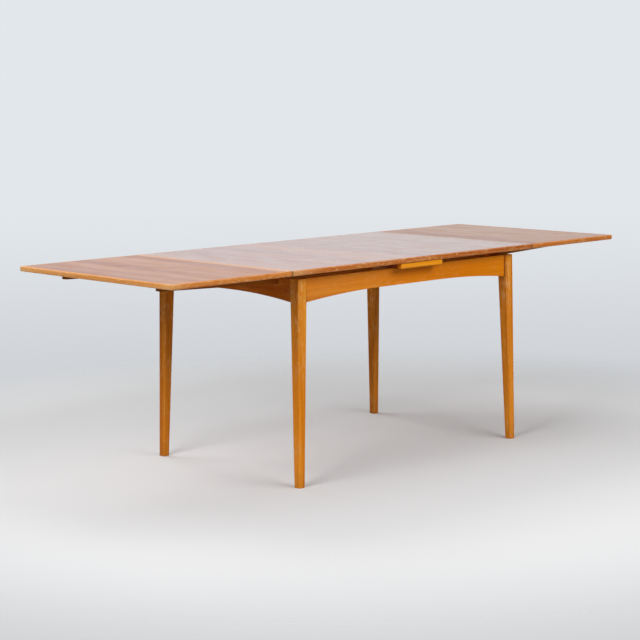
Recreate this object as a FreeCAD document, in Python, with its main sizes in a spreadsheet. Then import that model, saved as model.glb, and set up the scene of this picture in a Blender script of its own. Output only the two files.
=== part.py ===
import FreeCAD, Part
import os
import Sketcher
from types import SimpleNamespace

# Draw leaf table with both leaves drawn out, in millimetres.
# Front is -Y, left is -X, +Z is up, and the origin is on the floor under the middle of the table.
# The leaves stand beside the main top. To stow one, the main top is lifted and the leaf slides down
# the incline of its lopers, under the main top and beside the fixed centre board.

SIZES = {
    # tops
    "table_height": 730,
    "table_width": 800,
    "main_length": 1227,
    "board_thickness": 17.5,
    "lipping_width": 10,
    "edge_round": 5,
    "corner_round": 8,
    "seam_gap": 0.5,
    "leaf_clearance": 0.5,
    # legs
    "leg_end_inset": 66,
    "leg_side_inset": 41,
    "leg_top_side": 41,
    "leg_foot_side": 26,
    "foot_splay_end": 11,
    "foot_splay_side": 8,
    "leg_edge_round": 4,
    "foot_edge_round": 2,
    # aprons and their joints
    "apron_thickness": 20,
    "apron_depth": 79,
    "apron_setback": 5,
    "arch_rise": 20,
    "long_arch_flat": 300,
    "end_arch_flat": 40,
    "tenon_length": 18,
    "tenon_thickness": 10,
    "tenon_shoulder": 10,
    "glue_gap": 0.3,
    # corner blocks
    "block_reach": 68,
    "block_foot": 31,
    "block_height": 40,
    "block_drop": 10,
    # cross rails
    "rail_thickness": 22,
    "rail_inset": 20,
    "rail_lift": 2,
    "rail_tenon_length": 8,
    # centre board and its bars
    "centre_width": 231,
    "centre_gap": 1,
    "board_slack": 20,
    "bar_setback": 1,
    "bar_depth": 20,
    "bar_margin": 1,
    "bar_round": 3,
    "bar_corner_round": 6,
    "board_screw_inset": 45,
    "rail_screw_inset": 105,
    "board_screw_length": 45,
    # lopers and their stops
    "loper_width": 22,
    "loper_inset": 88,
    "loper_gap": 2,
    "loper_end_depth": 21,
    "loper_step": 1,
    "loper_side_clearance": 0.4,
    "loper_floor_clearance": 0.2,
    "loper_tail": 14,
    "loper_screw_margin": 45,
    "loper_screw_land": 10,
    "loper_screw_length": 22,
    "dowel_diameter": 8,
    "dowel_overhang": 8,
    "leaf_play": 8,
    "stop_clearance": 0.3,
    # guide pegs of the main top
    "peg_diameter": 25,
    "peg_inset": 75,
    "peg_clearance": 0.5,
    "peg_seat": 10,
    "peg_tail": 12,
    "peg_round": 2,
    "pin_diameter": 6,
    "pin_length": 44,
    "top_travel": 26,
    # screws
    "screw_shank": 4,
    "screw_head": 8,
    "screw_head_depth": 3,
    "fit_clearance": 0.1,
}


def mirror_signs():
    """Signs of the two halves of the table: left or front, then right or back."""
    return -1, 1


LEFT, RIGHT = mirror_signs()
FRONT, BACK = mirror_signs()
SIDE_NAMES = {LEFT: "left", RIGHT: "right"}
END_NAMES = {FRONT: "front", BACK: "back"}
SAME_PLACE = 1e-4
SPOTS = ("whole edge", "start", "end", "centre")
TURN_TO_AXIS = {
    "x": FreeCAD.Rotation(FreeCAD.Vector(0, 1, 0), 90),
    "y": FreeCAD.Rotation(FreeCAD.Vector(1, 0, 0), -90),
    "z": FreeCAD.Rotation(),
}


class Size:
    """A length that carries its number and the sheet formula behind it."""

    def __init__(self, number, formula=None):
        self.number = float(number)
        self.formula = formula or f"({self.number})"

    def joined(self, sign, other, number):
        return Size(number, f"({self.formula} {sign} {other.formula})")

    def __add__(self, other):
        other = as_size(other)
        return self.joined("+", other, self.number + other.number)

    def __sub__(self, other):
        other = as_size(other)
        return self.joined("-", other, self.number - other.number)

    def __mul__(self, other):
        other = as_size(other)
        return self.joined("*", other, self.number * other.number)

    def __truediv__(self, other):
        other = as_size(other)
        return self.joined("/", other, self.number / other.number)

    def __rmul__(self, other):
        return as_size(other) * self

    def __rsub__(self, other):
        return as_size(other) - self

    def __neg__(self):
        return as_size(0) - self


def as_size(value):
    return value if isinstance(value, Size) else Size(value)


doc = FreeCAD.newDocument("draw_leaf_table")
sheet = doc.addObject("Spreadsheet::Sheet", "Sizes")
for row, (alias, number) in enumerate(SIZES.items(), start=1):
    sheet.set(f"A{row}", str(number))
    sheet.setAlias(f"A{row}", alias)
doc.recompute()
s = SimpleNamespace(**{alias: Size(number, f"Sizes.{alias}") for alias, number in SIZES.items()})

# Heights
top_underside = s.table_height - s.board_thickness
frame_top = top_underside - s.board_thickness - 2 * s.leaf_clearance
apron_bottom = frame_top - s.apron_depth
arch_crown = apron_bottom + s.arch_rise
rail_bottom = arch_crown + s.rail_lift

# Places in plan, as distances from the middle of the table
half_main = s.main_length / 2
half_width = s.table_width / 2
leg_x = half_main - s.leg_end_inset
leg_y = half_width - s.leg_side_inset
apron_face_x = leg_x - s.apron_setback
apron_face_y = leg_y - s.apron_setback
apron_inner_x = apron_face_x - s.apron_thickness
apron_inner_y = apron_face_y - s.apron_thickness
apron_middle_x = apron_face_x - s.apron_thickness / 2
apron_middle_y = apron_face_y - s.apron_thickness / 2
centre_half = s.centre_width / 2
board_left = s.board_slack - centre_half
board_right = centre_half
leaf_length = half_main - centre_half - s.centre_gap
seam_x = half_main + s.seam_gap
leaf_end_x = seam_x + leaf_length
rail_x = centre_half - s.rail_inset - s.rail_thickness / 2
rail_near_x = rail_x - s.rail_thickness / 2
rail_far_x = rail_x + s.rail_thickness / 2

# Incline of the lopers: stowing lowers a leaf by its thickness and a clearance
incline = (s.board_thickness + s.leaf_clearance) / (leaf_length + s.seam_gap)
loper_outer_x = leaf_end_x - s.leg_end_inset - s.apron_setback
dowel_x = rail_near_x - s.leaf_play - s.stop_clearance - s.dowel_diameter / 2
loper_inner_x = dowel_x - s.loper_tail
loper_outboard = apron_inner_y - s.loper_inset
loper_inboard = loper_outboard - s.loper_width - s.loper_gap
loper_inner_face = loper_inboard - s.loper_width / 2
loper_head_z = top_underside - s.loper_screw_land
peg_y = loper_inner_face - s.peg_inset
rail_screw_y = loper_inner_face - s.rail_screw_inset


def loper_bottom(x):
    """Height of a loper's lower edge at a distance x from the middle of the table."""
    return top_underside - s.loper_end_depth - incline * (loper_outer_x - x)


def loper_top(x):
    """Height of a loper's upper edge inside the seam."""
    return top_underside - s.loper_step - incline * (seam_x - x)


def loper_y(side):
    """The right lopers run inboard of the left ones, so that stowed lopers pass each other."""
    return loper_outboard if side == LEFT else loper_inboard


def shoulder_inset(z, splay):
    """Distance of a leg's inner face, at height z, from the leg's outer face at the top."""
    share = z / frame_top
    leg_side = s.leg_foot_side + (s.leg_top_side - s.leg_foot_side) * share
    return leg_side - splay * (1 - share)


def shoulder_x(z):
    return leg_x - shoulder_inset(z, s.foot_splay_end)


def shoulder_y(z):
    return leg_y - shoulder_inset(z, s.foot_splay_side)


# Tools for building

def bind(obj, name, size):
    obj.setExpression(name, size.formula)


def ordered(first, second):
    return (first, second) if first.number <= second.number else (second, first)


def around(middle, width):
    return middle - width / 2, middle + width / 2


def new_body(label):
    body = doc.addObject("PartDesign::Body", label)
    body.Label = label
    return body


def block(body, name, x, y, z, cut=False):
    """Box between the two sizes of each pair, added to the body or cut from it."""
    box = body.newObject("PartDesign::SubtractiveBox" if cut else "PartDesign::AdditiveBox", name)
    for axis, length_name, pair in (("x", "Length", x), ("y", "Width", y), ("z", "Height", z)):
        low, high = ordered(*pair)
        bind(box, length_name, high - low)
        bind(box, f"Placement.Base.{axis}", low)
    return box


def place(obj, at, axis="z"):
    """Puts a round primitive at a point, with its axis turned to x, y or z."""
    obj.Placement = FreeCAD.Placement(FreeCAD.Vector(), TURN_TO_AXIS[axis])
    for letter, size in zip("xyz", at):
        bind(obj, f"Placement.Base.{letter}", as_size(size))


def rod(cylinder, at, radius, length, axis="z"):
    bind(cylinder, "Radius", radius)
    bind(cylinder, "Height", length)
    place(cylinder, at, axis)
    return cylinder


def drill(body, name, at, radius, length, axis="z"):
    return rod(body.newObject("PartDesign::SubtractiveCylinder", name), at, radius, length, axis)


def taper(cone, at, first_radius, second_radius, length):
    bind(cone, "Radius1", first_radius)
    bind(cone, "Radius2", second_radius)
    bind(cone, "Height", length)
    place(cone, at)
    return cone


def round_edges(body, name, radius, wanted):
    """Rounds the edges whose middle point is wanted."""
    doc.recompute()
    base = body.Tip
    names = [f"Edge{k}" for k, edge in enumerate(base.Shape.Edges, start=1) if wanted(edge.CenterOfMass)]
    fillet = body.newObject("PartDesign::Fillet", name)
    fillet.Base = (base, names)
    bind(fillet, "Radius", radius)


def near(value, size):
    return abs(value - size.number) < SAME_PLACE


def new_sketch(body, name, role, offset):
    """Sketch on one of the body's own origin planes, moved along the plane's normal."""
    sketch = body.newObject("Sketcher::SketchObject", name)
    plane = next(item for item in body.Origin.OriginFeatures if item.Role == role)
    sketch.AttachmentSupport = [(plane, "")]
    sketch.MapMode = "FlatFace"
    bind(sketch, "AttachmentOffset.Base.z", offset)
    return sketch


def vector(point):
    return FreeCAD.Vector(point[0].number, point[1].number, 0)


def pin(sketch, kind, edge, spot, size):
    """Ties a point of an edge to a distance from the sketch's origin, the start of its own edge -1."""
    constraint = Sketcher.Constraint(kind, -1, SPOTS.index("start"), edge, SPOTS.index(spot), size.number)
    index = sketch.addConstraint(constraint)
    bind(sketch, f"Constraints[{index}]", size)


def pin_corners(sketch, points):
    """Closes an outline and ties the start of each edge to its two sizes."""
    for k, point in enumerate(points):
        before = (k - 1) % len(points)
        sketch.addConstraint(Sketcher.Constraint("Coincident", before, SPOTS.index("end"), k, SPOTS.index("start")))
        for kind, size in zip(("DistanceX", "DistanceY"), point):
            pin(sketch, kind, k, "start", size)


def polygon(sketch, points):
    corners = [vector(point) for point in points]
    for start, end in zip(corners, corners[1:] + corners[:1]):
        sketch.addGeometry(Part.LineSegment(start, end))
    pin_corners(sketch, points)


def pad(body, sketch, length, both_ways=True):
    feature = body.newObject("PartDesign::Pad", "pad")
    feature.Profile = sketch
    feature.Midplane = both_ways
    bind(feature, "Length", length)
    return feature


# Legs

def leg(side, end):
    """Square leg, splayed outwards and tapered to the foot, with a mortise for each apron."""
    body = new_body(f"{END_NAMES[end]}_{SIDE_NAMES[side]}_leg")
    wedge = body.newObject("PartDesign::AdditiveWedge", "shaft")
    wedge.Placement = FreeCAD.Placement(FreeCAD.Vector(), FreeCAD.Rotation(FreeCAD.Vector(1, 0, 0), 90))
    foot = s.leg_foot_side
    head = s.leg_top_side
    foot_x = ordered(side * (leg_x + s.foot_splay_end), side * (leg_x + s.foot_splay_end - foot))
    foot_y = ordered(-end * (leg_y + s.foot_splay_side), -end * (leg_y + s.foot_splay_side - foot))
    head_x = ordered(side * leg_x, side * (leg_x - head))
    head_y = ordered(-end * leg_y, -end * (leg_y - head))
    bind(wedge, "Ymin", as_size(0))
    bind(wedge, "Ymax", frame_top)
    for name, pair in (("X", foot_x), ("Z", foot_y), ("X2", head_x), ("Z2", head_y)):
        bind(wedge, f"{name}min", pair[0])
        bind(wedge, f"{name}max", pair[1])
    middle_z = frame_top / 2
    round_edges(body, "long_edges", s.leg_edge_round, lambda p: near(p.z, middle_z))
    round_edges(body, "foot_edges", s.foot_edge_round, lambda p: near(p.z, as_size(0)))
    depth = s.tenon_length + s.glue_gap
    tenon_z = (apron_bottom + s.tenon_shoulder, frame_top - s.tenon_shoulder)
    start_x = shoulder_x(frame_top)
    start_y = shoulder_y(frame_top)
    block(body, "long_mortise", (side * start_x, side * (start_x + depth)),
          around(end * apron_middle_y, s.tenon_thickness), tenon_z, cut=True)
    block(body, "end_mortise", around(side * apron_middle_x, s.tenon_thickness),
          (end * start_y, end * (start_y + depth)), tenon_z, cut=True)
    return body


# Aprons

def arched_outline(sketch, top_half, bottom_half, flat):
    """Apron outline: straight top, sloped shoulders, and a flat arch that falls in arcs to both ends."""
    half_flat = flat / 2
    points = [
        (-top_half, frame_top),
        (top_half, frame_top),
        (bottom_half, apron_bottom),
        (half_flat, arch_crown),
        (-half_flat, arch_crown),
        (-bottom_half, apron_bottom),
    ]
    corners = [vector(point) for point in points]
    run = bottom_half.number - half_flat.number
    rise = s.arch_rise.number
    radius = (run ** 2 + rise ** 2) / (2 * rise)

    def arc(start, end, direction):
        """Arc level at the crown, through a point half way along its run."""
        across = run / 2
        drop = radius - (radius ** 2 - across ** 2) ** 0.5
        middle = FreeCAD.Vector(direction * (half_flat.number + across), arch_crown.number - drop, 0)
        return Part.Arc(start, middle, end)

    sketch.addGeometry(Part.LineSegment(corners[0], corners[1]))
    sketch.addGeometry(Part.LineSegment(corners[1], corners[2]))
    right_arc = sketch.addGeometry(arc(corners[2], corners[3], 1))
    sketch.addGeometry(Part.LineSegment(corners[3], corners[4]))
    left_arc = sketch.addGeometry(arc(corners[4], corners[5], -1))
    sketch.addGeometry(Part.LineSegment(corners[5], corners[0]))
    pin_corners(sketch, points)
    pin(sketch, "DistanceX", right_arc, "centre", half_flat)
    pin(sketch, "DistanceX", left_arc, "centre", -half_flat)


def long_apron(end):
    """Front or back apron, tenoned into the legs, with mortises for the cross rails."""
    body = new_body(f"{END_NAMES[end]}_apron")
    middle = end * apron_middle_y
    sketch = new_sketch(body, "outline", "XZ_Plane", -middle)
    arched_outline(sketch, shoulder_x(frame_top), shoulder_x(apron_bottom), s.long_arch_flat)
    pad(body, sketch, s.apron_thickness)
    tenon_z = (apron_bottom + s.tenon_shoulder, frame_top - s.tenon_shoulder)
    rail_z = (rail_bottom + s.tenon_shoulder, frame_top - s.tenon_shoulder)
    start = shoulder_x(frame_top)
    for side in (LEFT, RIGHT):
        name = SIDE_NAMES[side]
        block(body, f"{name}_tenon", (side * start, side * (start + s.tenon_length)),
              around(middle, s.tenon_thickness), tenon_z)
        block(body, f"{name}_rail_mortise", around(side * rail_x, s.tenon_thickness),
              (end * apron_inner_y, end * (apron_inner_y + s.rail_tenon_length + s.glue_gap)), rail_z, cut=True)
        pilot_hole(body, f"{name}_pilot", side * (centre_half - s.board_screw_inset), middle)
    return body


def end_apron(side):
    """Left or right apron, tenoned into the legs, with open notches for the lopers of its leaf."""
    body = new_body(f"{SIDE_NAMES[side]}_apron")
    middle = side * apron_middle_x
    sketch = new_sketch(body, "outline", "YZ_Plane", middle)
    arched_outline(sketch, shoulder_y(frame_top), shoulder_y(apron_bottom), s.end_arch_flat)
    pad(body, sketch, s.apron_thickness)
    tenon_z = (apron_bottom + s.tenon_shoulder, frame_top - s.tenon_shoulder)
    start = shoulder_y(frame_top)
    notch_width = s.loper_width + 2 * s.loper_side_clearance
    notch_floor = loper_bottom(apron_inner_x) - s.loper_floor_clearance
    for end in (FRONT, BACK):
        name = END_NAMES[end]
        block(body, f"{name}_tenon", around(middle, s.tenon_thickness),
              (end * start, end * (start + s.tenon_length)), tenon_z)
        block(body, f"{name}_notch", (side * apron_inner_x, side * apron_face_x),
              around(end * loper_y(side), notch_width), (notch_floor, top_underside), cut=True)
    return body


def corner_block(side, end):
    """Diagonal block glued between two aprons, clear of the leg."""
    body = new_body(f"{END_NAMES[end]}_{SIDE_NAMES[side]}_corner_block")
    sketch = new_sketch(body, "plan", "XY_Plane", frame_top - s.block_drop - s.block_height)
    short_reach = s.block_reach - s.block_foot
    polygon(sketch, [
        (side * (apron_inner_x - s.block_reach), end * apron_inner_y),
        (side * apron_inner_x, end * (apron_inner_y - s.block_reach)),
        (side * apron_inner_x, end * (apron_inner_y - short_reach)),
        (side * (apron_inner_x - short_reach), end * apron_inner_y),
    ])
    pad(body, sketch, s.block_height, both_ways=False)
    return body


# Cross rails and centre board

def pilot_hole(body, name, x, y):
    """Hole under a centre board screw, from the top of the frame down."""
    length = frame_top - top_underside + s.board_screw_length + s.fit_clearance
    radius = s.screw_shank / 2 + s.fit_clearance
    drill(body, name, (x, y, frame_top - length), radius, length)


def cross_rail(side):
    """Rail under the centre board, notched for the lopers, whose stop dowels it catches or lets pass."""
    body = new_body(f"{SIDE_NAMES[side]}_cross_rail")
    middle = side * rail_x
    block(body, "rail", around(middle, s.rail_thickness), (-apron_inner_y, apron_inner_y), (rail_bottom, frame_top))
    tenon_z = (rail_bottom + s.tenon_shoulder, frame_top - s.tenon_shoulder)
    dowel_room = s.dowel_overhang + s.loper_side_clearance
    inner_room = dowel_room if side == LEFT else s.loper_side_clearance
    outer_room = s.loper_side_clearance if side == LEFT else dowel_room
    notch_start = loper_inner_face - inner_room
    notch_end = loper_outboard + s.loper_width / 2 + outer_room
    notch_floor = loper_bottom(-rail_far_x) - s.loper_floor_clearance
    for end in (FRONT, BACK):
        name = END_NAMES[end]
        block(body, f"{name}_tenon", around(middle, s.tenon_thickness),
              (end * apron_inner_y, end * (apron_inner_y + s.rail_tenon_length)), tenon_z)
        block(body, f"{name}_notch", around(middle, s.rail_thickness),
              (end * notch_start, end * notch_end), (notch_floor, top_underside), cut=True)
        pilot_hole(body, f"{name}_pilot", middle, end * rail_screw_y)
    return body


def board_screw_places():
    """Centre board screws: two into each long apron and two into each cross rail."""
    places = []
    for side in (LEFT, RIGHT):
        for end in (FRONT, BACK):
            places.append((side * (centre_half - s.board_screw_inset), end * apron_middle_y))
            places.append((side * rail_x, end * rail_screw_y))
    return places


def centre_board():
    """Fixed board between the stowed leaves, which carries the main top. It stops short of the left leaf."""
    body = new_body("centre_board")
    edge_y = half_width - s.bar_setback - s.bar_depth
    thickness = top_underside - frame_top
    block(body, "board", (board_left, board_right), (-edge_y, edge_y), (frame_top, top_underside))
    for end in (FRONT, BACK):
        drill(body, f"{END_NAMES[end]}_peg_hole", (0, end * peg_y, frame_top),
              s.peg_diameter / 2 + s.peg_clearance, thickness)
    head_bottom = top_underside - s.screw_head_depth
    shank_radius = s.screw_shank / 2 + s.fit_clearance
    for k, (x, y) in enumerate(board_screw_places()):
        drill(body, f"screw_hole_{k}", (x, y, frame_top), shank_radius, thickness)
        taper(body.newObject("PartDesign::SubtractiveCone", f"screw_seat_{k}"), (x, y, head_bottom),
              shank_radius, s.screw_head / 2 + s.fit_clearance, s.screw_head_depth)
    return body


def centre_bar(end):
    """Solid bar that finishes the front or back edge of the centre board, with rounded outer corners."""
    body = new_body(f"{END_NAMES[end]}_centre_bar")
    outer_y = end * (half_width - s.bar_setback)
    inner_y = outer_y - end * s.bar_depth
    bottom = frame_top + s.bar_margin
    top = top_underside - s.bar_margin
    block(body, "bar", (board_left, board_right), (inner_y, outer_y), (bottom, top))
    round_edges(body, "corners", s.bar_corner_round,
                lambda p: near(p.y, outer_y) and (near(p.x, board_left) or near(p.x, board_right)))
    round_edges(body, "outer_edges", s.bar_round,
                lambda p: (near(p.z, bottom) or near(p.z, top)) and not near(p.y, inner_y))
    return body


# Tops

def lipping(label, x, y, rounded):
    """Edge strip of a top, with its outer edges, where rounded is true, turned over above and below."""
    body = new_body(label)
    block(body, "strip", x, y, (top_underside, s.table_height))
    round_edges(body, "outer_edges", s.edge_round, rounded)
    return body


def seam_lipping(label, x, y):
    """Edge strip along a seam, left square."""
    body = new_body(label)
    block(body, "strip", x, y, (top_underside, s.table_height))
    return body


def level_edge(p):
    """True for an edge of the upper or lower face."""
    return near(p.z, top_underside) or near(p.z, s.table_height)


def main_top():
    """Main panel with blind holes for the guide pegs, and its four lippings."""
    panel = new_body("main_panel")
    panel_x = half_main - s.lipping_width
    panel_y = half_width - s.lipping_width
    block(panel, "board", (-panel_x, panel_x), (-panel_y, panel_y), (top_underside, s.table_height))
    parts = [panel]
    for end in (FRONT, BACK):
        drill(panel, f"{END_NAMES[end]}_peg_seat", (0, end * peg_y, top_underside),
              s.peg_diameter / 2 + s.fit_clearance, s.peg_seat + s.fit_clearance)
        outer_y = end * half_width
        parts.append(lipping(f"main_{END_NAMES[end]}_lipping", (-half_main, half_main), (end * panel_y, outer_y),
                             lambda p: level_edge(p) and near(p.y, outer_y)))
    for side in (LEFT, RIGHT):
        parts.append(seam_lipping(f"main_{SIDE_NAMES[side]}_lipping", (side * panel_x, side * half_main),
                                  (-panel_y, panel_y)))
    return parts


def leaf_side_lipping(side, end):
    """Front or back lipping of a leaf, rounded in plan at the leaf's outer corner."""
    body = new_body(f"{SIDE_NAMES[side]}_leaf_{END_NAMES[end]}_lipping")
    inner_x = side * seam_x
    outer_x = side * leaf_end_x
    inner_y = end * (half_width - s.lipping_width)
    outer_y = end * half_width
    block(body, "strip", (inner_x, outer_x), (inner_y, outer_y), (top_underside, s.table_height))
    round_edges(body, "corner", s.corner_round, lambda p: near(p.x, outer_x) and near(p.y, outer_y))
    round_edges(body, "outer_edges", s.edge_round,
                lambda p: level_edge(p) and not near(p.x, inner_x) and not near(p.y, inner_y))
    return body


def leaf(side):
    """Panel of a leaf with pilot holes for the loper screws, and its four lippings."""
    name = SIDE_NAMES[side]
    panel = new_body(f"{name}_leaf_panel")
    panel_y = half_width - s.lipping_width
    inner_x = seam_x + s.lipping_width
    outer_x = leaf_end_x - s.lipping_width
    block(panel, "board", (side * inner_x, side * outer_x), (-panel_y, panel_y), (top_underside, s.table_height))
    depth = s.loper_screw_length - s.loper_screw_land + s.fit_clearance
    for end in (FRONT, BACK):
        for k, x in enumerate(loper_screw_xs(side)):
            drill(panel, f"{END_NAMES[end]}_pilot_{k}", (x, end * loper_y(side), top_underside),
                  s.screw_shank / 2 + s.fit_clearance, depth)
    end_x = side * leaf_end_x
    parts = [panel]
    parts.append(leaf_side_lipping(side, FRONT))
    parts.append(leaf_side_lipping(side, BACK))
    parts.append(lipping(f"{name}_leaf_outer_lipping", (side * outer_x, end_x), (-panel_y, panel_y),
                         lambda p: level_edge(p) and near(p.x, end_x)))
    parts.append(seam_lipping(f"{name}_leaf_inner_lipping", (side * seam_x, side * inner_x), (-panel_y, panel_y)))
    return parts


# Lopers, stops and guide pegs

def loper_screw_xs(side):
    """Three screws along each loper of a leaf."""
    first = loper_outer_x - s.loper_screw_margin
    last = seam_x + s.loper_screw_margin
    return [side * x for x in (first, (first + last) / 2, last)]


def loper(side, end):
    """Tapered bearer under a leaf: level above, inclined below, and lower inside the seam."""
    body = new_body(f"{SIDE_NAMES[side]}_leaf_{END_NAMES[end]}_loper")
    middle = end * loper_y(side)
    sketch = new_sketch(body, "outline", "XZ_Plane", -middle)
    polygon(sketch, [
        (side * loper_outer_x, top_underside),
        (side * seam_x, top_underside),
        (side * seam_x, loper_top(seam_x)),
        (side * loper_inner_x, loper_top(loper_inner_x)),
        (side * loper_inner_x, loper_bottom(loper_inner_x)),
        (side * loper_outer_x, loper_bottom(loper_outer_x)),
    ])
    pad(body, sketch, s.loper_width)
    lowest = loper_bottom(loper_inner_x)
    shank_radius = s.screw_shank / 2 + s.fit_clearance
    head_radius = s.screw_head / 2 + s.fit_clearance
    for k, x in enumerate(loper_screw_xs(side)):
        drill(body, f"counterbore_{k}", (x, middle, lowest), head_radius, loper_head_z - lowest)
        taper(body.newObject("PartDesign::SubtractiveCone", f"screw_seat_{k}"), (x, middle, loper_head_z),
              head_radius, shank_radius, s.screw_head_depth)
        drill(body, f"screw_hole_{k}", (x, middle, loper_head_z), shank_radius, s.loper_screw_land)
    drill(body, "dowel_hole", (side * dowel_x, middle - s.loper_width / 2, dowel_height()),
          s.dowel_diameter / 2 + s.fit_clearance, s.loper_width, "y")
    return body


def dowel_height():
    return (loper_top(dowel_x) + loper_bottom(dowel_x)) / 2


def stop_dowels(side):
    """Dowel through the inner end of each loper of a leaf, standing out on the side that the rail catches."""
    dowels = []
    for end in (FRONT, BACK):
        way = end if side == LEFT else -end
        inner = end * loper_y(side) - way * s.loper_width / 2
        outer = end * loper_y(side) + way * (s.loper_width / 2 + s.dowel_overhang)
        low, high = ordered(inner, outer)
        dowels.append(rod(doc.addObject("Part::Cylinder", "stop_dowel"), (side * dowel_x, low, dowel_height()),
                          s.dowel_diameter / 2, high - low, "y"))
    return group(f"{SIDE_NAMES[side]}_stop_dowels", dowels)


def pin_height():
    """Axis of the retaining pins, which meet the centre board when the top is lifted through its travel."""
    return frame_top - s.top_travel - s.stop_clearance - s.pin_diameter / 2


def guide_peg(end):
    """Round peg glued into the main top, running in the centre board."""
    body = new_body(f"{END_NAMES[end]}_guide_peg")
    low = pin_height() - s.peg_tail
    rod(body.newObject("PartDesign::AdditiveCylinder", "peg"), (0, end * peg_y, low), s.peg_diameter / 2,
        top_underside + s.peg_seat - low)
    round_edges(body, "lower_edge", s.peg_round, lambda p: near(p.z, low))
    drill(body, "pin_hole", (-s.peg_diameter / 2, end * peg_y, pin_height()),
          s.pin_diameter / 2 + s.fit_clearance, s.peg_diameter, "x")
    return body


def retaining_pins():
    pins = [rod(doc.addObject("Part::Cylinder", "retaining_pin"), (-s.pin_length / 2, end * peg_y, pin_height()),
                s.pin_diameter / 2, s.pin_length, "x") for end in (FRONT, BACK)]
    return group("peg_retaining_pins", pins)


# Screws

def group(label, pieces):
    """Separate solids of the same kind, kept together."""
    compound = doc.addObject("Part::Compound", label)
    compound.Label = label
    compound.Links = pieces
    return compound


def screw(x, y, head_z, length, points_up):
    """Countersunk screw with its head's flat face at head_z."""
    head = doc.addObject("Part::Cone", "screw_head")
    shank = doc.addObject("Part::Cylinder", "screw_shank")
    head_radius = s.screw_head / 2
    shank_radius = s.screw_shank / 2
    shank_length = length - s.screw_head_depth
    if points_up:
        taper(head, (x, y, head_z), head_radius, shank_radius, s.screw_head_depth)
        rod(shank, (x, y, head_z + s.screw_head_depth), shank_radius, shank_length)
    else:
        taper(head, (x, y, head_z - s.screw_head_depth), shank_radius, head_radius, s.screw_head_depth)
        rod(shank, (x, y, head_z - length), shank_radius, shank_length)
    whole = doc.addObject("Part::Fuse", "screw")
    whole.Base = head
    whole.Tool = shank
    return whole


def loper_screws(side):
    screws = [screw(x, end * loper_y(side), loper_head_z, s.loper_screw_length, True)
              for end in (FRONT, BACK) for x in loper_screw_xs(side)]
    return group(f"{SIDE_NAMES[side]}_loper_screws", screws)


def centre_board_screws():
    return group("centre_board_screws",
                 [screw(x, y, top_underside, s.board_screw_length, False) for x, y in board_screw_places()])


# The whole table

def build():
    parts = []
    for side in (LEFT, RIGHT):
        for end in (FRONT, BACK):
            parts.append(leg(side, end))
            parts.append(corner_block(side, end))
            parts.append(loper(side, end))
        parts.append(end_apron(side))
        parts.append(cross_rail(side))
        parts.append(stop_dowels(side))
        parts.append(loper_screws(side))
        parts.extend(leaf(side))
    for end in (FRONT, BACK):
        parts.append(long_apron(end))
        parts.append(centre_bar(end))
        parts.append(guide_peg(end))
    parts.append(centre_board())
    parts.append(centre_board_screws())
    parts.append(retaining_pins())
    parts.extend(main_top())
    return parts


def check(parts):
    """Stops the build if any object failed or any sub-part is not a sound solid."""
    for obj in doc.Objects:
        if {"Invalid", "Error"} & set(obj.State):
            raise RuntimeError(f"{obj.Label} failed: {obj.State}")
    for part in parts:
        if part.Shape.isNull() or not part.Shape.isValid() or not part.Shape.Solids:
            raise RuntimeError(f"{part.Label} is not a sound solid")


table = build()
doc.recompute()
check(table)
os.makedirs("parts", exist_ok=True)
for part in table:
    part.Shape.exportStep(f"parts/{part.Label}.step")
    print(part.Label, len(part.Shape.Solids), round(part.Shape.Volume))
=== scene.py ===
import math
from collections import namedtuple

import bmesh
import bpy
from mathutils import Matrix, Vector


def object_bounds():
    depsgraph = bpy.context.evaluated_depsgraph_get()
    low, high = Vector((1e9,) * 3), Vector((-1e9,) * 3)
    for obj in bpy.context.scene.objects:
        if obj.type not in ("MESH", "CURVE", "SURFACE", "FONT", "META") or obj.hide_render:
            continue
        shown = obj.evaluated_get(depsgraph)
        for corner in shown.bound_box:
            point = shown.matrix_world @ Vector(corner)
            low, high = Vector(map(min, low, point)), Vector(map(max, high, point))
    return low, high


# Looks of a draw leaf table with both leaves drawn out, in metres, in the frame of the solids.
# Front is -Y, left is -X.

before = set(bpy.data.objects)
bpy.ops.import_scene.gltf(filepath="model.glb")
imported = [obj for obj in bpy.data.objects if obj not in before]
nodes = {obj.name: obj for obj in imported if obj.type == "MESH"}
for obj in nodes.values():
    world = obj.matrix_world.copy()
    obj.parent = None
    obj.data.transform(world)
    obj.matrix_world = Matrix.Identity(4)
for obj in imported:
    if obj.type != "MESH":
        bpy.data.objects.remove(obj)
cad_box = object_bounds()

HALF_LENGTH, HALF_WIDTH = cad_box[1][0], cad_box[1][1]
APRON_END = min(corner[0] for corner in nodes["front_right_leg"].bound_box)
MAIN_END = max(corner[0] for corner in nodes["main_front_lipping"].bound_box)
SIDES = ("left", "right")
ENDS = ("front", "back")
AXES = "xyz"

# Camera, from a fit to the outlines in the photo
IMAGE_WIDTH = 640
FOCAL_PIXELS = 1699.90
SENSOR_WIDTH = 36.0
CAMERA_PLACE = Vector((-4.3327, -4.3460, 1.3327))
CAMERA_AZIMUTH = math.radians(44.242)
CAMERA_PITCH = math.radians(7.989)
CAMERA_ROLL = math.radians(-0.463)

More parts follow.
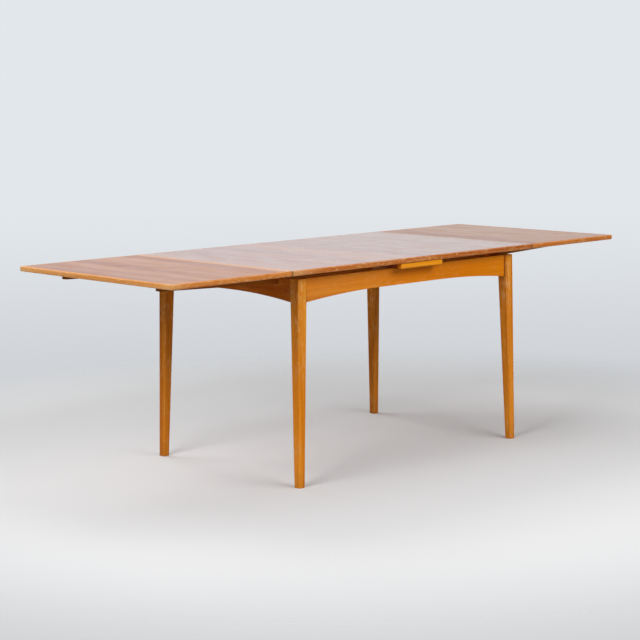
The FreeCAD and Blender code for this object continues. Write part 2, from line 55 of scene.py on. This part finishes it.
# Wood tones: dark, middle and light streaks, as linear colours
MAIN_TONES = ((0.280, 0.075, 0.028), (0.360, 0.112, 0.046), (0.440, 0.160, 0.072))
RIGHT_SHEET = (0.230, 0.085, 0.040)
LEFT_LEAF_TONES = ((0.265, 0.072, 0.020), (0.355, 0.124, 0.044), (0.435, 0.180, 0.076))
RIGHT_LEAF_TONES = ((0.220, 0.066, 0.018), (0.300, 0.114, 0.043), (0.370, 0.168, 0.074))
MAIN_EDGE_TONES = ((0.270, 0.058, 0.006), (0.400, 0.100, 0.012), (0.520, 0.165, 0.030))
LEAF_EDGE_TONES = ((0.400, 0.100, 0.010), (0.520, 0.155, 0.022), (0.620, 0.230, 0.050))
# Outer end edges of the leaves: edge wood made lighter, painted light from the left lamp
OUTER_EDGE_PAINTED_LIGHT_TONES = ((0.520, 0.180, 0.035), (0.660, 0.270, 0.070), (0.760, 0.370, 0.130))
SEAM_TONES = ((0.560, 0.200, 0.045), (0.680, 0.290, 0.085), (0.760, 0.380, 0.140))
LONG_APRON_TONES = ((0.560, 0.146, 0.001), (0.640, 0.180, 0.002), (0.700, 0.220, 0.006))
# End aprons: the apron wood made darker, painted shade from the leaves above them
END_APRON_PAINTED_SHADE_TONES = ((0.410, 0.086, 0.002), (0.500, 0.120, 0.003), (0.570, 0.160, 0.006))
FRONT_LEG_TONES = ((0.520, 0.142, 0.003), (0.640, 0.206, 0.010), (0.715, 0.280, 0.030))
# Back legs: the leg wood made darker, painted shade from the table top above them
BACK_LEG_PAINTED_SHADE_TONES = ((0.400, 0.104, 0.003), (0.515, 0.154, 0.007), (0.610, 0.215, 0.020))
BAR_TONES = ((0.690, 0.220, 0.004), (0.770, 0.270, 0.007), (0.820, 0.330, 0.022))
# Lopers: wood whose darkness is partly painted shade of the gap under the main top
LOPER_PAINTED_SHADE_TONES = ((0.270, 0.072, 0.005), (0.350, 0.105, 0.010), (0.420, 0.150, 0.022))
# Inner pieces: wood whose darkness is partly painted shade of the gap under the main top
INNER_PAINTED_SHADE_TONES = ((0.330, 0.150, 0.046), (0.420, 0.205, 0.072), (0.500, 0.265, 0.105))
BOARD_TONES = ((0.230, 0.060, 0.018), (0.320, 0.092, 0.030), (0.390, 0.130, 0.048))
BARE_WOOD = (0.740, 0.430, 0.180)
THIN_VARNISH = (0.760, 0.375, 0.110)
PORE_STAIN = (0.130, 0.040, 0.012)
STEEL_TONES = ((0.330, 0.325, 0.315), (0.460, 0.455, 0.445), (0.560, 0.555, 0.545))

# Lengths of wear and joints, and heights above the floor where dirt and scuffs grow
CORNER_WEAR = 0.09
SEAM_WEAR = 0.16
JOINT_WIDTH = 0.002
# Width of the dirt and painted shade where the long aprons meet the legs
APRON_JOINT_DIRT_AND_SHADE_WIDTH = 0.005
SEAM_DARKENING_WIDTH = 0.012
FADE_START = 0.2
FOOT_DIRT_HEIGHTS = (0.08, 0.01)
SCUFF_HEIGHTS = (0.40, 0.66)

# Cells of the marks in wood: length along the grain and two widths across it
STREAK_LENGTH = 1.10
THREAD_CELL = (0.18, 0.0045, 0.0045)
PORE_CELL = (0.0090, 0.00055, 0.00055)
FLECK_CELL = (0.0038, 0.0009, 0.0022)
POLISH_CELL = (0.12, 0.06, 0.06)
CHIP_CELL = (0.014, 0.007, 0.007)
RUB_CELL = (0.10, 0.03, 0.03)
PATCH_CELL = (0.16, 0.05, 0.05)
SCUFF_CELL = (0.024, 0.009, 0.009)
NICK_CELL = (0.011, 0.008, 0.008)
TREE_SPREAD = 37.0
TONE_PLACES = (0.36, 0.50, 0.64)
RELIEF_DEPTH = 0.0004
ROUGHNESS_SPREAD = 0.06
FRAME_FIGURE = {"streak": 0.020, "pores": 0.06, "flecks": 0.30}

# Marks in steel
CLOUD_CELL = (0.002, 0.002, 0.002)
SCRATCH_CELL = (0.0060, 0.0003, 0.0060)
SCRATCH_DEPTH = 0.0001

# Finishes, from polished varnish to dry wood
Finish = namedtuple("Finish", "roughness specular coat coat_roughness tint")
CLEAR = (1.0, 1.0, 1.0)
AMBER = (1.0, 0.55, 0.15)
POLISHED = Finish(0.30, 0.50, 0.71, 0.12, CLEAR)
SATIN = Finish(0.40, 0.50, 0.45, 0.25, CLEAR)
WORN_EDGE = Finish(0.42, 0.25, 0.08, 0.30, AMBER)
RUBBED = Finish(0.48, 0.12, 0.02, 0.35, AMBER)
DRY = Finish(0.68, 0.12, 0.00, 0.50, AMBER)


# Shader helpers

class Shader:
    """Node tree of a material or of the world, with a short call for each kind of node used here."""

    def __init__(self, owner):
        owner.use_nodes = True
        self.owner = owner
        self.tree = owner.node_tree
        self.tree.nodes.clear()

    def add(self, kind, inputs=None, **settings):
        """Adds a node, with its settings, and each input set to a value or linked to a socket."""
        node = self.tree.nodes.new(kind)
        for name, value in settings.items():
            setattr(node, name, value)
        for name, value in (inputs or {}).items():
            self.put(node.inputs[name], value)
        return node

    def put(self, socket, value):
        if isinstance(value, bpy.types.NodeSocket):
            self.tree.links.new(value, socket)
        elif socket.type == "RGBA":
            socket.default_value = (*value, 1.0)
        else:
            socket.default_value = value

    def math(self, operation, first, second=0.0):
        node = self.add("ShaderNodeMath", {0: first, 1: second}, operation=operation)
        return node.outputs[0]

    def span(self, value, low, high, to_low=0.0, to_high=1.0):
        """Smooth step from to_low at low to to_high at high."""
        inputs = {"Value": value, "From Min": low, "From Max": high, "To Min": to_low, "To Max": to_high}
        return self.add("ShaderNodeMapRange", inputs, interpolation_type="SMOOTHSTEP").outputs[0]

    def noise(self, vector, detail=2.0, roughness=0.5, distortion=0.0):
        inputs = {"Vector": vector, "Scale": 1.0, "Detail": detail, "Roughness": roughness,
                  "Distortion": distortion}
        return self.add("ShaderNodeTexNoise", inputs).outputs["Fac"]

    def tint(self, factor, first, second):
        """Colour that goes from the first to the second as the factor goes from zero to one."""
        node = self.add("ShaderNodeMix", data_type="RGBA")
        by_name = {socket.identifier: socket for socket in node.inputs}
        self.put(by_name["Factor_Float"], factor)
        self.put(by_name["A_Color"], first)
        self.put(by_name["B_Color"], second)
        return next(socket for socket in node.outputs if socket.identifier == "Result_Color")

    def ramp(self, factor, colours, places, interpolation="LINEAR"):
        node = self.add("ShaderNodeValToRGB", {"Fac": factor})
        node.color_ramp.interpolation = interpolation
        elements = node.color_ramp.elements
        while len(elements) < len(colours):
            elements.new(0.5)
        for element, colour, place in zip(elements, colours, places):
            element.position = place
            element.color = (*colour, 1.0)
        return node.outputs["Color"]

    def object_axes(self):
        """X, Y and Z of the surface point in the frame of the object."""
        place = self.add("ShaderNodeTexCoord").outputs["Object"]
        return self.add("ShaderNodeSeparateXYZ", {"Vector": place}).outputs

    def scaled(self, vector, sizes):
        """Coordinates counted in cells of the given sizes."""
        inputs = {"Vector": vector, "Scale": tuple(1.0 / size for size in sizes)}
        return self.add("ShaderNodeMapping", inputs, vector_type="POINT").outputs["Vector"]

    def close(self, **inputs):
        """Ends the tree in one principled shader."""
        named = {name.replace("_", " "): value for name, value in inputs.items()}
        surface = self.add("ShaderNodeBsdfPrincipled", named)
        self.add("ShaderNodeOutputMaterial", {"Surface": surface.outputs["BSDF"]})
        return self.owner


def grain_coordinates(shader, grain):
    """Coordinates whose first one runs along the grain, from another place in the tree for each object."""
    axes = shader.object_axes()
    along = AXES.index(grain)
    order = [along] + [k for k in range(3) if k != along]
    offset = shader.math("MULTIPLY", shader.add("ShaderNodeObjectInfo").outputs["Random"], TREE_SPREAD)
    inputs = {letter.upper(): shader.math("ADD", axes[k], offset) for letter, k in zip(AXES, order)}
    return shader.add("ShaderNodeCombineXYZ", inputs).outputs["Vector"]


def edge_mask(shader):
    """One on rounded edges and zero on the faces that look along an axis."""
    normal = shader.add("ShaderNodeNewGeometry").outputs["Normal"]
    parts = shader.add("ShaderNodeSeparateXYZ", {"Vector": normal}).outputs
    sizes = [shader.math("ABSOLUTE", part) for part in parts]
    largest = shader.math("MAXIMUM", shader.math("MAXIMUM", sizes[0], sizes[1]), sizes[2])
    return shader.span(largest, 0.97, 0.80)


# Wood

def wood(name, grain, tones, finish, streak=0.03, fine=0.30, pores=0.15, flecks=0.0, relief=0.25,
         worn=None, bare=BARE_WOOD, overlay=None):
    """Wood with broad and fine streaks along the grain, pores, flecks, bare places and an overlay."""
    shader = Shader(bpy.data.materials.new(name))
    place = grain_coordinates(shader, grain)
    broad = shader.noise(shader.scaled(place, (STREAK_LENGTH, streak, streak)), 3.0, 0.55, 0.30)
    threads = shader.noise(shader.scaled(place, THREAD_CELL), 4.0, 0.6, 0.2)
    wide = shader.math("MULTIPLY", broad, 1.0 - fine)
    figure = shader.math("ADD", wide, shader.math("MULTIPLY", threads, fine))
    colour = shader.ramp(figure, tones, TONE_PLACES)
    pore_cells = shader.noise(shader.scaled(place, PORE_CELL), 1.0, 0.5)
    pore = shader.span(pore_cells, 0.60, 0.72)
    colour = shader.tint(shader.math("MULTIPLY", pore, pores), colour, PORE_STAIN)
    if flecks:
        fleck_cells = shader.noise(shader.scaled(place, FLECK_CELL), 1.0, 0.4)
        fleck = shader.span(fleck_cells, 0.63, 0.70)
        colour = shader.tint(shader.math("MULTIPLY", fleck, flecks), colour, tones[0])
    if worn:
        colour = shader.tint(worn(shader, place), colour, bare)
    if overlay:
        colour = overlay(shader, colour)
    ridges = shader.math("MULTIPLY", threads, 0.5)
    height = shader.math("SUBTRACT", ridges, shader.math("MULTIPLY", pore, 0.5))
    bump = shader.add("ShaderNodeBump", {"Strength": relief, "Distance": RELIEF_DEPTH, "Height": height})
    polish = shader.noise(shader.scaled(place, POLISH_CELL), 3.0, 0.6)
    rough = shader.span(polish, 0.30, 0.70, finish.roughness - ROUGHNESS_SPREAD,
                        finish.roughness + ROUGHNESS_SPREAD)
    return shader.close(Base_Color=colour, Roughness=rough, Specular_IOR_Level=finish.specular,
                        Specular_Tint=finish.tint, Coat_Weight=finish.coat,
                        Coat_Roughness=finish.coat_roughness, Normal=bump.outputs["Normal"])


def rubbed_edges(shader, place, amount):
    """Chipped and rubbed lengths along the rounded edges."""
    chip_cells = shader.noise(shader.scaled(place, CHIP_CELL), 2.0, 0.6)
    chips = shader.span(chip_cells, 0.60, 0.67)
    rub_cells = shader.noise(shader.scaled(place, RUB_CELL), 3.0, 0.6)
    rubbed = shader.span(rub_cells, 0.48, 0.72, 0.0, 0.55)
    edges = shader.math("MULTIPLY", edge_mask(shader), amount)
    return shader.math("MULTIPLY", shader.math("MAXIMUM", chips, rubbed), edges)


def scuffed_faces(shader, place, amount):
    """Patches of short scuffs along the grain."""
    patch_cells = shader.noise(shader.scaled(place, PATCH_CELL), 2.0, 0.5)
    patches = shader.span(patch_cells, 0.42, 0.62)
    scuff_cells = shader.noise(shader.scaled(place, SCUFF_CELL), 3.0, 0.65)
    scuffs = shader.span(scuff_cells, 0.44, 0.66)
    return shader.math("MULTIPLY", shader.math("MULTIPLY", patches, scuffs), amount)


def nicks(shader, place, amount):
    """Scattered pale nicks a few millimetres wide."""
    cells = shader.noise(shader.scaled(place, NICK_CELL), 1.0, 0.5)
    return shader.math("MULTIPLY", shader.span(cells, 0.66, 0.71), amount)


def worn_corners(shader, amount):
    """Bare wood towards the two corners of the left leaf."""
    axes = shader.object_axes()
    end = shader.span(axes["X"], CORNER_WEAR - HALF_LENGTH, -HALF_LENGTH)
    side = shader.span(shader.math("ABSOLUTE", axes["Y"]), HALF_WIDTH - CORNER_WEAR, HALF_WIDTH)
    return shader.math("MULTIPLY", shader.math("MULTIPLY", end, side), amount)


def edge_wear(shader, place):
    """Wear of the edge strips: chips, rubs, nicks, scuffs and the left leaf's corners."""
    faces = shader.math("MAXIMUM", scuffed_faces(shader, place, 0.40), worn_corners(shader, 0.50))
    marks = shader.math("MAXIMUM", rubbed_edges(shader, place, 0.80), nicks(shader, place, 0.80))
    return shader.math("MAXIMUM", marks, faces)


def main_edge_wear(shader, place):
    """Wear of the main top's edges, with a rubbed length next to the left seam."""
    seam = shader.span(shader.object_axes()["X"], SEAM_WEAR - MAIN_END, -MAIN_END, 0.0, 0.45)
    return shader.math("MAXIMUM", edge_wear(shader, place), seam)


def end_darkening(shader, colour, end, width):
    """Darker towards both ends of a piece that lies along X."""
    reach = shader.math("ABSOLUTE", shader.object_axes()["X"])
    return shader.tint(shader.span(reach, end - width, end, 0.0, 0.9), colour, PORE_STAIN)


def seam_darkening(shader, colour):
    """Darker towards the ends of the main top's long edges, where the leaves meet them."""
    return end_darkening(shader, colour, MAIN_END, SEAM_DARKENING_WIDTH)


def apron_wear(shader, place):
    return shader.math("MAXIMUM", rubbed_edges(shader, place, 0.35), scuffed_faces(shader, place, 0.20))


def long_apron_marks(shader, colour):
    """Wood faded towards the left, and dirt and painted shade where the long aprons meet the legs."""
    fading = shader.span(shader.object_axes()["X"], FADE_START, -APRON_END, 0.0, 0.10)
    return end_darkening(shader, shader.tint(fading, colour, BARE_WOOD), APRON_END, APRON_JOINT_DIRT_AND_SHADE_WIDTH)


def dirty_feet(shader, colour):
    dirt = shader.span(shader.object_axes()["Z"], *FOOT_DIRT_HEIGHTS, 0.0, 0.18)
    return shader.tint(dirt, colour, PORE_STAIN)


def leg_wear(shader, place):
    """Rubbed arrises, and scuffs and nicks that show most towards the top."""
    scuffs = shader.span(shader.object_axes()["Z"], *SCUFF_HEIGHTS, 0.25, 0.85)
    dots = nicks(shader, place, shader.math("MULTIPLY", scuffs, 0.5))
    faces = shader.math("MAXIMUM", scuffed_faces(shader, place, scuffs), dots)
    return shader.math("MAXIMUM", rubbed_edges(shader, place, 0.80), faces)


def matched_sheets(shader, colour):
    """Two sheets of veneer that meet in a pale joint at the middle of the table, the right one darker."""
    x = shader.object_axes()["X"]
    right = shader.span(x, -JOINT_WIDTH, JOINT_WIDTH, 0.0, 0.5)
    sheets = shader.tint(right, colour, RIGHT_SHEET)
    joint = shader.span(shader.math("ABSOLUTE", x), JOINT_WIDTH, 0.0, 0.0, 0.6)
    return shader.tint(joint, sheets, SEAM_TONES[1])


def veneer(name, tones, finish, streak, overlay=None):
    return wood(name, "y", tones, finish, streak=streak, fine=0.12, pores=0.10, relief=0.006,
                overlay=overlay)


def edge_wood(name, grain, tones, finish, worn=edge_wear, overlay=None):
    return wood(name, grain, tones, finish, streak=0.012, fine=0.40, pores=0.20, worn=worn,
                overlay=overlay)


def steel():
    """Dull zinc-plated steel with fine scratches."""
    shader = Shader(bpy.data.materials.new("steel"))
    place = shader.add("ShaderNodeTexCoord").outputs["Object"]
    cloud = shader.noise(shader.scaled(place, CLOUD_CELL), 4.0, 0.6)
    scratch = shader.noise(shader.scaled(place, SCRATCH_CELL), 2.0, 0.5)
    colour = shader.ramp(cloud, STEEL_TONES, (0.30, 0.50, 0.70))
    rough = shader.span(scratch, 0.30, 0.70, 0.28, 0.50)
    bump = shader.add("ShaderNodeBump", {"Strength": 0.2, "Distance": SCRATCH_DEPTH, "Height": scratch})
    return shader.close(Base_Color=colour, Metallic=1.0, Roughness=rough, Normal=bump.outputs["Normal"])


def dress(material, *names):
    for name in names:
        for slot in nodes[name].material_slots:
            slot.material = material


def dress_tops():
    dress(veneer("main_veneer", MAIN_TONES, POLISHED, 0.090, matched_sheets), "main_panel")
    for side, tones in zip(SIDES, (LEFT_LEAF_TONES, RIGHT_LEAF_TONES)):
        dress(veneer(f"{side}_leaf_veneer", tones, SATIN, 0.070), f"{side}_leaf_panel")
    for side, tones in zip(SIDES, (SEAM_TONES, RIGHT_LEAF_TONES)):
        seam = edge_wood(f"{side}_seam_edge", "y", tones, SATIN)
        dress(seam, f"main_{side}_lipping", f"{side}_leaf_inner_lipping")
    main_edge = edge_wood("main_edge", "x", MAIN_EDGE_TONES, WORN_EDGE, main_edge_wear, seam_darkening)
    dress(main_edge, *(f"main_{end}_lipping" for end in ENDS))
    leaf_edge = edge_wood("leaf_edge", "x", LEAF_EDGE_TONES, WORN_EDGE)
    dress(leaf_edge, *(f"{side}_leaf_{end}_lipping" for side in SIDES for end in ENDS))
    # The leaves' outer edges are a lighter copy of the edge wood: painted light from the left lamp
    outer_edge = edge_wood("outer_edge", "y", OUTER_EDGE_PAINTED_LIGHT_TONES, WORN_EDGE)
    dress(outer_edge, *(f"{side}_leaf_outer_lipping" for side in SIDES))


def dress_frame():
    # The back legs are a darker copy of the leg wood: painted shade under the table top
    for end, tones in zip(ENDS, (FRONT_LEG_TONES, BACK_LEG_PAINTED_SHADE_TONES)):
        leg = wood(f"{end}_leg_wood", "z", tones, RUBBED, **FRAME_FIGURE, worn=leg_wear, overlay=dirty_feet)
        dress(leg, *(f"{end}_{side}_leg" for side in SIDES))
    long_look = ("long", "x", LONG_APRON_TONES, long_apron_marks, ENDS)
    # The end aprons are a darker copy of the apron wood: painted shade under the leaves
    end_look = ("end", "y", END_APRON_PAINTED_SHADE_TONES, None, SIDES)
    for kind, grain, tones, overlay, places in (long_look, end_look):
        apron = wood(f"{kind}_apron_wood", grain, tones, RUBBED, **FRAME_FIGURE, worn=apron_wear,
                     bare=THIN_VARNISH, overlay=overlay)
        dress(apron, *(f"{place}_apron" for place in places))
    bar = wood("bar_wood", "x", BAR_TONES, RUBBED, streak=0.010, pores=0.06, flecks=0.25, worn=apron_wear,
               bare=THIN_VARNISH)
    dress(bar, *(f"{end}_centre_bar" for end in ENDS))
    dress(wood("centre_board_wood", "y", BOARD_TONES, DRY, streak=0.040, pores=0.35), "centre_board")


def dress_mechanism():
    # The lopers' dark tones are partly painted shade of the gap under the main top
    loper = wood("loper_wood", "x", LOPER_PAINTED_SHADE_TONES, DRY, streak=0.012, flecks=0.3)
    dress(loper, *(f"{side}_leaf_{end}_loper" for side in SIDES for end in ENDS))
    # The inner pieces' dark tones are partly painted shade of the gap under the main top
    rail = wood("rail_wood", "y", INNER_PAINTED_SHADE_TONES, DRY, streak=0.020, flecks=0.3)
    dress(rail, *(f"{side}_cross_rail" for side in SIDES), *(f"{side}_stop_dowels" for side in SIDES))
    peg = wood("peg_wood", "z", INNER_PAINTED_SHADE_TONES, DRY, streak=0.010, flecks=0.3)
    dress(peg, *(f"{end}_guide_peg" for end in ENDS))
    block = wood("block_wood", "x", INNER_PAINTED_SHADE_TONES, DRY, streak=0.015, flecks=0.3)
    dress(block, *(f"{end}_{side}_corner_block" for end in ENDS for side in SIDES))
    dress(steel(), "centre_board_screws", "peg_retaining_pins", *(f"{side}_loper_screws" for side in SIDES))


# Floor, backdrop, lights and camera

FLOOR_RADIUS = 9.0
FLOOR_COLOUR = (0.69, 0.695, 0.70)
FLOOR_FADE = (1.35, 2.5)
NEAR_GROUND = (0.660, 0.660, 0.655)
# Darker band of the sky below the horizon: painted shade of the cove where floor meets wall
LOW_SKY_PAINTED_COVE_SHADE = (0.610, 0.630, 0.660)
HIGH_SKY = (0.765, 0.800, 0.830)
SKY_SLOPES = (-0.45, -0.19, -0.06)
FILL_COLOUR = (1.0, 1.0, 1.0)
FILL_STRENGTH = 0.02
AIM = Vector((0.0, 0.0, 0.55))
Lamp = namedtuple("Lamp", "name place size power")
LAMPS = (Lamp("front_lamp", (-0.2, -4.2, 3.1), 2.0, 96.0),
         Lamp("front_right_lamp", (1.6, -4.0, 3.2), 2.0, 62.0),
         Lamp("low_lamp", (0.25, -5.2, 1.6), 2.0, 18.0),
         Lamp("left_lamp", (-4.2, -0.9, 2.8), 2.2, 138.0),
         Lamp("back_lamp", (-0.7, 3.4, 3.8), 3.0, 116.0),
         Lamp("overhead_lamp", (1.4, 0.4, 4.5), 3.0, 58.0))


def floor():
    """Pale floor that fades into the backdrop away from the table."""
    mesh = bpy.data.meshes.new("floor")
    form = bmesh.new()
    bmesh.ops.create_circle(form, cap_ends=True, segments=128, radius=FLOOR_RADIUS)
    form.to_mesh(mesh)
    form.free()
    ground = bpy.data.objects.new("floor", mesh)
    bpy.context.collection.objects.link(ground)
    mesh.materials.append(floor_paint())


def floor_paint():
    shader = Shader(bpy.data.materials.new("floor_paint"))
    place = shader.add("ShaderNodeTexCoord").outputs["Object"]
    reach = shader.add("ShaderNodeVectorMath", {0: place}, operation="LENGTH").outputs["Value"]
    paint = shader.add("ShaderNodeBsdfDiffuse", {"Color": FLOOR_COLOUR})
    clear = shader.add("ShaderNodeBsdfTransparent")
    fade = shader.span(reach, *FLOOR_FADE)
    mixed = shader.add("ShaderNodeMixShader", {0: fade, 1: paint.outputs[0], 2: clear.outputs[0]})
    shader.add("ShaderNodeOutputMaterial", {"Surface": mixed.outputs[0]})
    return shader.owner


def backdrop():
    """Pale sky seen by the camera and in gloss, with a band of painted cove shade just below the horizon,
    and an even white fill for everything else.
    """
    world = bpy.data.worlds.new("backdrop")
    bpy.context.scene.world = world
    shader = Shader(world)
    direction = shader.add("ShaderNodeTexCoord").outputs["Generated"]
    slope = shader.add("ShaderNodeSeparateXYZ", {"Vector": direction}).outputs["Z"]
    lowest, low, high = SKY_SLOPES
    reach = shader.add("ShaderNodeMapRange", {"Value": slope, "From Min": lowest, "From Max": high})
    places = (0.0, (low - lowest) / (high - lowest), 1.0)
    sky = shader.ramp(reach.outputs[0], (NEAR_GROUND, LOW_SKY_PAINTED_COVE_SHADE, HIGH_SKY), places, "EASE")
    seen = shader.add("ShaderNodeBackground", {"Color": sky})
    fill = shader.add("ShaderNodeBackground", {"Color": FILL_COLOUR, "Strength": FILL_STRENGTH})
    rays = shader.add("ShaderNodeLightPath").outputs
    shown = shader.math("MAXIMUM", rays["Is Camera Ray"], rays["Is Glossy Ray"])
    shown = shader.math("MAXIMUM", shown, rays["Is Transmission Ray"])
    mixed = shader.add("ShaderNodeMixShader", {0: shown, 1: fill.outputs[0], 2: seen.outputs[0]})
    shader.add("ShaderNodeOutputWorld", {"Surface": mixed.outputs[0]})


def light(lamp):
    """Square soft lamp turned to the table, whose glare the varnish does not mirror."""
    data = bpy.data.lights.new(lamp.name, "AREA")
    data.size = lamp.size
    data.energy = lamp.power
    holder = bpy.data.objects.new(lamp.name, data)
    holder.visible_glossy = False
    holder.location = lamp.place
    holder.rotation_euler = (AIM - Vector(lamp.place)).to_track_quat("-Z", "Y").to_euler()
    bpy.context.collection.objects.link(holder)


def camera():
    """Camera at the photo's place, turned by its azimuth, pitch and roll."""
    data = bpy.data.cameras.new("camera")
    data.sensor_width = SENSOR_WIDTH
    data.lens = FOCAL_PIXELS / IMAGE_WIDTH * SENSOR_WIDTH
    look = Vector((math.sin(CAMERA_AZIMUTH) * math.cos(CAMERA_PITCH),
                   math.cos(CAMERA_AZIMUTH) * math.cos(CAMERA_PITCH),
                   -math.sin(CAMERA_PITCH)))
    level = Vector((math.cos(CAMERA_AZIMUTH), -math.sin(CAMERA_AZIMUTH), 0.0))
    upright = level.cross(look)
    right = level * math.cos(CAMERA_ROLL) + upright * math.sin(CAMERA_ROLL)
    up = right.cross(look)
    turn = Matrix((right, up, -look)).transposed().to_4x4()
    holder = bpy.data.objects.new("camera", data)
    holder.matrix_world = Matrix.Translation(CAMERA_PLACE) @ turn
    bpy.context.collection.objects.link(holder)
    bpy.context.scene.camera = holder


dress_tops()
dress_frame()
dress_mechanism()
floor()
backdrop()
for lamp in LAMPS:
    light(lamp)
camera()
bpy.context.scene.view_settings.view_transform = "Standard"
